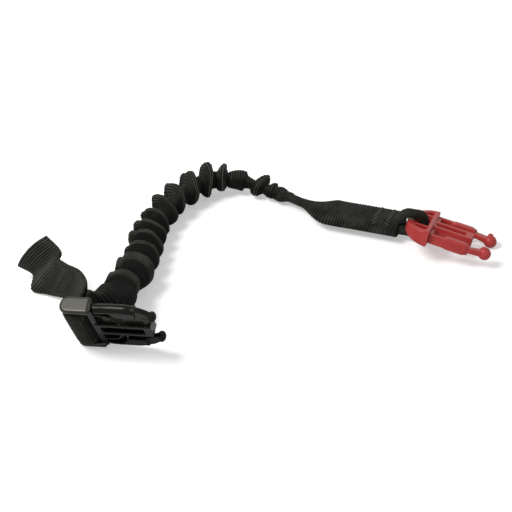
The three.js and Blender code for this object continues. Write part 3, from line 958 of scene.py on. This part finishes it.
def make_strap_loop():
    """The strap folded round the end bar: up through the slot, over the bar and back."""
    route = [
        (core_side, leg_back), (slot_middle + 0.1, -2.6), (slot_middle, 0.6),
        (slot_middle - 1.1, fold_over - 0.5), (bar_middle, fold_over),
        (bar_middle - fold_round + 0.9, fold_over - 0.9), (bar_middle - fold_round, 0),
        (bar_middle - fold_round + 0.9, -fold_over + 0.9), (bar_middle, -fold_over - 0.2),
        (tail_side - 0.1, leg_back + 1.6), (tail_side, leg_back),
    ]
    path = spline([(x, 0, z) for x, z in route])
    stops = even_steps(runs_of(path)[-1], rib_step)
    middle, way = along_path(path, stops)
    across = np.broadcast_to((0.0, 1.0, 0.0), way.shape)
    rings = rings_at(middle, across, np.cross(way, across), webbing_width / 2,
                     webbing_thickness / 2 - rib_height / 2, 48, strap_squareness)
    crest = ribs_at(stops, rings.shape[1])
    # pulled taut over the bar, so its ribs show little
    made = tube_mesh("strap_fold", lifted(rings, crest * rib_height * 0.6), black_frame,
                     webbing_look, stops, 0.2 + 0.3 * crest)
    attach(made, "black_buckle")
    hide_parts("strap_loop")


def make_tail():
    """Free end of the strap, standing on its edge and twisting as it goes."""
    start = moved([(tail_side, 0, leg_back + seam_gap)], black_frame)[0]
    edge = turned((0, 1, 0), black_frame) * webbing_width / 2
    path = spline([start, *[at for at, _ in tail_route]])
    edges = spline([edge, *[side for _, side in tail_route]])
    run = runs_of(path)
    stops = even_steps(run[-1], rib_step)
    middle, way = along_path(path, stops)
    across = unit(np.stack([np.interp(stops, run, edges[:, k]) for k in range(3)], 1))
    over = unit(np.cross(way, across))
    sides = 64
    rings = rings_at(middle, across, over, webbing_width / 2,
                     webbing_thickness / 2 - rib_height / 2, sides, strap_squareness)
    # the cut end is bowed, and so are the ribs near it
    bow = tail_bow * (1 - (ring_section(sides, strap_squareness)[0]) ** 2) - tail_bow / 2
    bow = bow * smoothstep(stops, run[-1] - tail_bow_length, run[-1])[:, None]
    rings = rings + way[:, None] * bow[..., None]
    crest = ribs_at(stops, rings.shape[1])
    made = tube_mesh("tail", lifted(rings, crest * rib_height), table_frame, webbing_look,
                     stops, crest)
    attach(made, "black_buckle")
    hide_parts("strap_tail")


def make_leg(path):
    """Strap from the fold to the gathers, opening from flat to full."""
    stops = even_steps(runs_of(path)[-1], rib_step)
    t = stops / stops[-1]
    middle, way = along_path(path, stops)
    across, _ = upright_frame(way)
    edge = np.broadcast_to(turned((0, 1, 0), black_frame), way.shape)
    share = smoothstep(t, 0.06, twist_share)[:, None]
    edge = unit(mix(edge, across + leg_edge_rise * UP, share))
    over = unit(np.cross(way, edge))
    swell = smoothstep(t, 0, 0.35)
    rings = rings_at(middle, edge, over, mix(webbing_width, leg_width, swell) / 2,
                     mix(webbing_thickness, leg_thickness, swell) / 2, 64,
                     mix(strap_squareness, leg_squareness, t))
    crest = ribs_at(stops, rings.shape[1])
    # the rib crests are lighter at the buckle only, partly a nap worn into them and partly a painted
    # highlight
    made = tube_mesh("leg", lifted(rings, crest * rib_height), table_frame, webbing_look,
                     stops, crest * mix(0.7, 0.1, smoothstep(t, 0.1, 0.5))[:, None])
    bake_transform(made)
    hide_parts("strap_leg")


# Gathers from the buckle end to the neck: share of the route at the crest, crest radius, how
# far the fold leans from square, in degrees about the line of sight, and how far its middle
# lies from the route, to the right of the view and up it. From the turn of the route on, the
# folds also lie back from the eye.
gathers = [
    (0.060, 7.1, -9, -1.4, 1.2), (0.178, 8.5, 9, -0.6, 0.2), (0.259, 8.1, 16, 0.0, 0.2),
    (0.326, 8.2, 5, -0.6, 0.4), (0.395, 7.8, 10, -1.0, 0.4), (0.459, 7.5, 15, -1.0, 0.4),
    (0.534, 7.4, 12, -1.0, 0.5), (0.601, 7.6, 23, -0.9, 0.9), (0.679, 7.9, 27, -0.5, 0.6),
    (0.749, 7.8, 17, 0.5, 0.1), (0.798, 6.8, 6, 1.0, 1.1), (0.868, 4.9, -3, 0.0, 0.2),
    (0.936, 5.5, 21, 0.0, 0.9), (0.976, 4.0, 6, 0.3, 0.6),
]
fold_shares, fold_crests, fold_leans, fold_rights, fold_ups = np.array(gathers).T
# Section of a gather: its near face, as shares of the way back to the gather before and of its
# height, then its far face, as distances past the crest for one of a usual height
near_face = [(0.98, 0.05), (0.84, 0.40), (0.58, 0.72), (0.26, 0.93), (0.0, 1.0)]
far_face = [(0.9, 0.94), (1.6, 0.70), (2.1, 0.28), (2.9, 0.03)]
usual_height = 8
# how much of the way back the near face takes, by share of the route
fullness = ((0.35, 0.58, 0.80, 0.85, 0.88, 0.92), (0.85, 0.6, 0.5, 1.0, 1.0, 0.5))
start_radius = 6.2
start_swell = 0.6
# the cloth draws in with the core where it is pinched, then widens to take up the sewn end
valley_shares = (0.82, 0.90, 0.945, 0.99)
valley_radii = (valley_radius, 2.3, 2.3, 3.2)
pinch_shares = (0.84, 0.89)
pinched_core = 1.3
pinched_bore = 1.7
sleeve_sides = 120
# each fold is puckered on one side: where and how broadly, in radians, and how far it lies back
# there, as a share of its height
pucker_side = 0.5
pucker_breadth = 0.42
pucker_back = 0.2
# how far the folds lie back, and the shares of the route where this sets in and fades
lie_back = math.radians(16)
lie_start = (0.25, 0.5)
lie_fade = (0.9, 0.75)
floor_clearance = 0.4

sight_angle = math.radians(camera_height_angle)
line_of_sight = np.array((0.0, math.cos(sight_angle), -math.sin(sight_angle)))
line_of_sight_up = np.array((0.0, math.sin(sight_angle), math.cos(sight_angle)))


def rotated(v, axis, degrees):
    """Directions turned about an axis, each by its own angle."""
    a = np.radians(degrees)[:, None]
    return (v * np.cos(a) + np.cross(axis, v) * np.sin(a)
            + axis * (v @ axis)[:, None] * (1 - np.cos(a)))


def valley_at(share):
    """Radius of the cloth between two gathers, by share of the route."""
    return np.interp(share, valley_shares, valley_radii)


def gather_profile(length):
    """Distance along the cloth, and distance along the route and radius, at each ring."""
    spots = [(0.0, start_radius)]
    last = 0.0
    for share, crest, *_ in gathers:
        middle = share * length
        low = valley_at(share)
        if last > 0:
            back = np.interp(share, *fullness)
            spots += [(mix(middle, last, away * back), mix(low, crest - rib_height, height))
                      for away, height in near_face]
        else:
            spots += [(middle / 2, mix(start_radius, crest, start_swell)),
                      (middle, crest - rib_height)]
        spots += [(middle + away * crest / usual_height, mix(low, crest - rib_height, height))
                  for away, height in far_face]
        last = spots[-1][0]
    line = spline([*spots, (length, valley_radii[-1])], 12)
    run = runs_of(line)
    stops = even_steps(run[-1], rib_step)
    return stops, np.interp(stops, run, line[:, 0]), np.interp(stops, run, line[:, 1])


def fold_frames(path, at):
    """Middle, way, across and over at each ring of the sleeve, with the lean of its fold."""
    length = runs_of(path)[-1]
    middle, way = along_path(path, np.clip(at, 0, length))
    way = rotated(way, line_of_sight, np.interp(at, fold_shares * length, fold_leans))
    back = unit(np.cross(line_of_sight, way))
    share = at / length
    lying = lie_back * smoothstep(share, *lie_start) * smoothstep(share, *lie_fade)
    way = unit(way * np.cos(lying)[:, None] + np.cross(back, way) * np.sin(lying)[:, None])
    return middle, way, *upright_frame(way)


def fold_ripples(turn, order):
    """Round each ring: how much wider the cloth stands, how much further along it lies, and how
    puckered it is. Each fold's waves start elsewhere, so no two folds are alike."""
    fold = np.round(order)
    side = pucker_side + 0.3 * np.sin(fold * 2.3)
    away = np.angle(np.exp(1j * (turn - side)))
    pucker = np.exp(-(away / pucker_breadth) ** 2)
    oval = 0.06 * np.sin(2 * turn + order * 2.1) + 0.04 * np.sin(5 * turn + fold * 1.7)
    wider = 1 + oval + pucker * (0.16 + 0.13 * np.sin(11 * turn + fold * 2.0))
    sway = 0.08 * np.sin(3 * turn + fold * 2.9)
    further = sway + pucker * (0.16 * np.sin(13 * turn + fold * 1.3) - pucker_back)
    return wider, further, pucker


def sleeve_bore(path, stops):
    """Rings of the bore over the core, at distances along the path."""
    middle, way = along_path(path, stops)
    across, over = upright_frame(way)
    radius = np.interp(stops / runs_of(path)[-1], pinch_shares, (bore_radius, pinched_bore))
    return rings_at(middle, across, over, radius, radius, sleeve_sides)


def make_sleeve(path):
    length = runs_of(path)[-1]
    run, at, radius = gather_profile(length)
    share = at / length
    crests = fold_shares * length
    middle, way, across, over = fold_frames(path, at)
    low = valley_at(share)
    lift = (radius - low)[:, None]
    rise = np.clip(lift[:, 0] / (np.interp(at, crests, fold_crests) - low), 0, 1)
    shift = (np.interp(at, crests, fold_rights)[:, None] * np.array((1.0, 0, 0))
             + np.interp(at, crests, fold_ups)[:, None] * line_of_sight_up)
    middle = middle + shift * rise[:, None]
    turn = 2 * np.pi * np.arange(sleeve_sides) / sleeve_sides
    order = np.interp(at, crests, np.arange(len(gathers)))[:, None]
    wider, further, pucker = fold_ripples(turn, order)
    spokes = (across[:, None] * np.cos(turn)[None, :, None]
              + over[:, None] * np.sin(turn)[None, :, None])
    rings = (middle[:, None] + spokes * (low[:, None] + lift * wider)[..., None]
             + way[:, None] * (lift * further)[..., None])
    rings[..., 2] = np.maximum(rings[..., 2], floor_clearance)
    rib = ribs_at(run)
    # painted light and shade: the rib crests are lighter on the rims and puckers and, past the turn,
    # on top, where light falls from above, and darker on the other faces
    rim = smoothstep(rise, 0.80, 0.93)[:, None]
    top = 0.7 * smoothstep(np.sin(turn), 0.2, 1.0) * smoothstep(share, 0.42, 0.6)[:, None]
    painted_light = np.maximum(rim, top) + 0.5 * pucker * smoothstep(rise, 0.4, 0.8)[:, None]
    crest = rib ** 1.3 * mix(0.1, 1.3, np.clip(painted_light, 0, 1))
    outer = lifted(rings, rib * np.ones(sleeve_sides) * rib_height)
    stops = np.linspace(length, 0, 60)
    inner = sleeve_bore(path, stops)
    whole = np.vstack([outer, inner])
    whole_run = np.concatenate([run, run[-1] + stops[::-1]])
    whole_crest = np.vstack([crest, np.zeros(inner.shape[:2])])
    made = tube_mesh("gathered_webbing", whole, table_frame, webbing_look, whole_run, whole_crest,
                     bore=True)
    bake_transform(made)
    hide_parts("gathered_sleeve")


def make_core(path):
    stops = np.linspace(0, runs_of(path)[-1], 200)
    middle, way = along_path(path, stops)
    across, over = upright_frame(way)
    radius = np.interp(stops / stops[-1], pinch_shares, (core_diameter / 2, pinched_core))
    rings = rings_at(middle, across, over, radius, radius, 32)
    made = tube_mesh("rubber_core", rings, table_frame, rubber_look)
    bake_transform(made)
    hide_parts("elastic_core")


def end_sections(path, stops):
    """The sewn end at distances along it: twisted and narrow at the neck, then flat."""
    middle, way = along_path(path, stops)
    far, over = upright_frame(way)
    opening = smoothstep(stops, sewn_neck_length * 0.6, sewn_neck_length * 1.7)
    tilt = np.radians(mix(sewn_neck_tilt, sleeve_end_tilt, opening))[:, None]
    edge = far * np.cos(tilt) + over * np.sin(tilt)
    top = over * np.cos(tilt) - far * np.sin(tilt)
    closing = smoothstep(stops, binding_length, binding_fade)
    width = mix(mix(binding_width, sewn_neck_width, closing), end_width, opening)
    thickness = mix(mix(binding_thickness, sewn_neck_thickness, closing), end_thickness, opening)
    return middle, way, edge, top, width, thickness


def make_end(path):
    length = runs_of(path)[-1]
    stops = even_steps(length, rib_step)
    middle, way, edge, top, width, thickness = end_sections(path, stops)
    sides = 72
    rings = rings_at(middle, edge, top, width / 2, thickness / 2 - rib_height, sides,
                     end_squareness)
    crest = ribs_at(stops, rings.shape[1])
    outer = lifted(rings, crest * rib_height)
    back = np.linspace(length, length - end_pocket, 60)
    middle, way, edge, top, width, thickness = end_sections(path, back)
    inner = rings_at(middle, edge, top, width / 2 - end_wall, thickness / 2 - end_wall, sides,
                     end_squareness)
    whole = np.vstack([outer, inner])
    run = np.concatenate([stops, length + np.linspace(0, end_pocket, 60)])
    whole_crest = np.vstack([0.15 + 0.55 * crest, np.zeros(inner.shape[:2])])
    made = tube_mesh("sewn_end", whole, table_frame, webbing_look, run, whole_crest)
    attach(made, "sleeve_end")
    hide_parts("end_sleeve")


def make_seam(name, path, at, share, node):
    """A row of zigzag stitches across the sewn end, lying on its upper face."""
    middle, way, edge, top, width, thickness = (v[0] for v in end_sections(path, np.array([at])))
    points = []
    for k in range(stitch_count + 1):
        side = (k / stitch_count - 0.5) * share
        height = thickness / 2 * (1 - abs(2 * side) ** end_squareness) ** (1 / end_squareness)
        points.append(middle + edge * side * width + top * (height + stitch_rise)
                      + way * (k % 2 - 0.5) * stitch_width)
    line = spline(points, 8)
    stops = np.linspace(0, runs_of(line)[-1], 240)
    spot, along = along_path(line, stops)
    across = unit(np.cross(top, along))
    rings = rings_at(spot, across, np.cross(along, across), thread_diameter / 2,
                     thread_diameter / 2, 10)
    made = tube_mesh(name, rings, table_frame, thread_look)
    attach(made, "sleeve_end")
    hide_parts(node)


# Cord loop


def cord_path():
    """The cord from its far sewn end, round the ring's bar and back to its near one."""
    tilt = math.radians(sleeve_end_tilt)
    far = np.cross(UP, end_forward) * math.cos(tilt) + UP * math.sin(tilt)

    def sewn(side, depth):
        across = cord_offset + side * cord_spacing / 2
        return np.array(sleeve_end) + far * across - end_forward * depth

    depths = (cord_sewn_length, cord_sewn_length / 2, 0)
    points = [*[sewn(1, d) for d in depths], *moved(cord_route, red_frame),
              *[sewn(-1, d) for d in depths[::-1]]]
    return spline(points)


def make_cord(path):
    stops = even_steps(runs_of(path)[-1], cord_step)
    middle, way = along_path(path, stops)
    across = [np.cross(UP, way[0])]
    for step in way[1:]:
        across.append(across[-1] - step * (across[-1] @ step))
    across = unit(np.array(across))
    over = np.cross(way, across)
    sides = 88
    radius = cord_diameter / 2 - braid_height / 2
    rings = rings_at(middle, across, over, radius, radius, sides)
    # two sets of strands, one climbing each way, that pass over each other by turns
    turn = np.arange(sides) / sides * braid_cells
    one = turn[None, :] + stops[:, None] / braid_step / 2
    other = turn[None, :] - stops[:, None] / braid_step / 2
    flip = (np.floor(one) + np.floor(other)) % 2
    a = np.abs(np.sin(np.pi * one))
    b = np.abs(np.sin(np.pi * other))
    height = np.where(flip > 0, a ** 0.9 * b ** 0.35, a ** 0.35 * b ** 0.9)
    made = tube_mesh("cord", lifted(rings, height * braid_height), table_frame, cord_look,
                     stops, height)
    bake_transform(made)
    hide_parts("cord_loop")


# Assembly

sleeve_path = spline(sleeve_route)
_, sleeve_ways = along_path(sleeve_path, np.array([0.0, runs_of(sleeve_path)[-1]]))
leg_start = moved([(core_side, 0, leg_back - seam_gap)], black_frame)[0]
leg_down = turned((leg_lean, 0, -1), black_frame)
leg_path = spline([leg_start, leg_start + leg_down * leg_straight,
                   sleeve_path[0] - sleeve_ways[0] * leg_run_in,
                   sleeve_path[0] - sleeve_ways[0] * seam_gap])
end_path = spline([sleeve_path[-1] + sleeve_ways[1] * seam_gap,
                   sleeve_path[-1] + sleeve_ways[1] * core_seam_length, neck_middle,
                   np.array(sleeve_end) - end_forward * flat_length,
                   np.array(sleeve_end) - end_forward * flat_length / 2, sleeve_end])

make_cord(cord_path())
make_black_plug()
make_red_plug()
make_strap_loop()
make_tail()
make_leg(leg_path)
make_sleeve(sleeve_path)
make_core(sleeve_path)
make_end(end_path)
end_length = runs_of(end_path)[-1]
for count in (1, 2):
    make_seam(f"cord_stitches_{count}", end_path,
              end_length - seam_inset - (count - 1) * seam_pitch, cord_seam_share,
              f"cord_seam_{count}")
make_seam("core_stitches", end_path, core_seam_length, core_seam_share, "core_seam")
